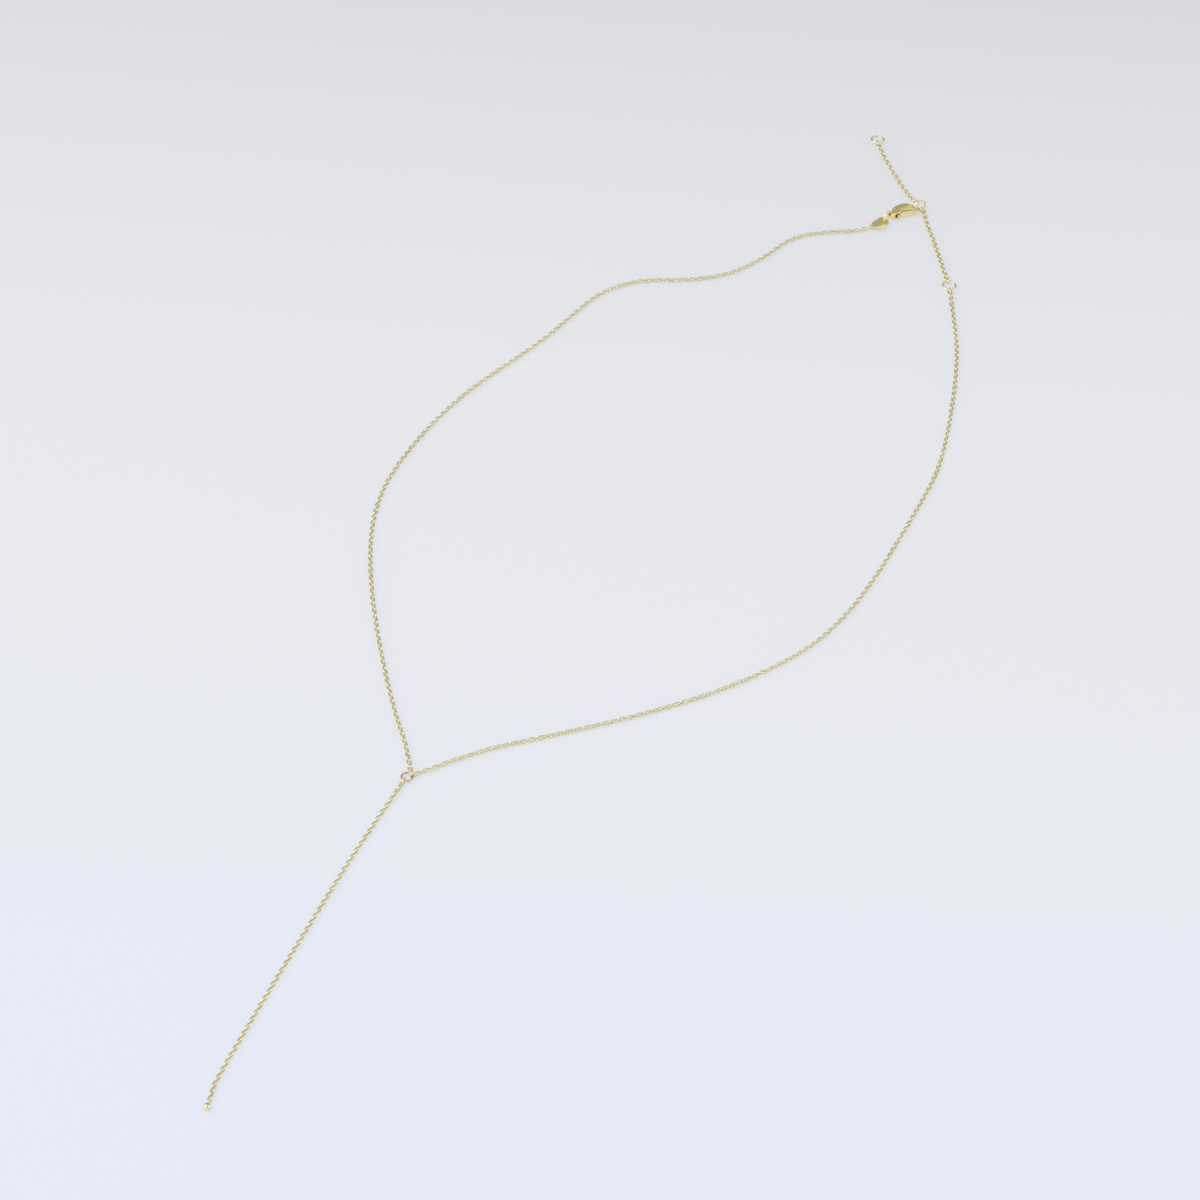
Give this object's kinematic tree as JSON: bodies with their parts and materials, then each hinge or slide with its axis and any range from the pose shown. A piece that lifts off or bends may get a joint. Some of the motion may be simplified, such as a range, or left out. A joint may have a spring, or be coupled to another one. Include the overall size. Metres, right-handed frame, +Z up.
{
  "type": "y necklace",
  "caption": "Fine cable-chain Y necklace, fastened and lying flat: closed neck loop with lobster clasp and ring extender, drop chain with a ball tip from a small ring.",
  "frame": {"origin": "middle of the necklace's box, on the surface that it lies on", "axes": "+Z up from the surface, +Y from the tip of the drop towards the clasp end, +X to the right of that"},
  "size_m": [0.1272, 0.2714, 0.0031],
  "materials": {
    "yellow_gold": "polished",
    "rose_gold": "polished"
  },
  "bodies": {
    "necklace": {"y_ring": "rose_gold", "left_chain": "yellow_gold", "right_chain": "yellow_gold", "length_ring_inner": "yellow_gold", "extender_lower": "yellow_gold", "length_ring_middle": "yellow_gold", "extender_upper": "yellow_gold", "length_ring_end": "yellow_gold", "drop_chain": "yellow_gold", "drop_tip": "yellow_gold", "clasp_body": "yellow_gold", "clasp_pin": "yellow_gold", "clasp_jump_ring": "yellow_gold", "tag_plate": "yellow_gold"},
    "lever": {"clasp_lever": "yellow_gold"}
  },
  "joints": [
    {"name": "lever_hinge", "type": "hinge", "parent": "necklace", "child": "lever", "pos_m": [0.05167, 0.10832, 0.001], "axis": [0, 0, 1], "range_deg": [0, 12], "stiffness_Nm_per_rad": 0.0002}
  ]
}
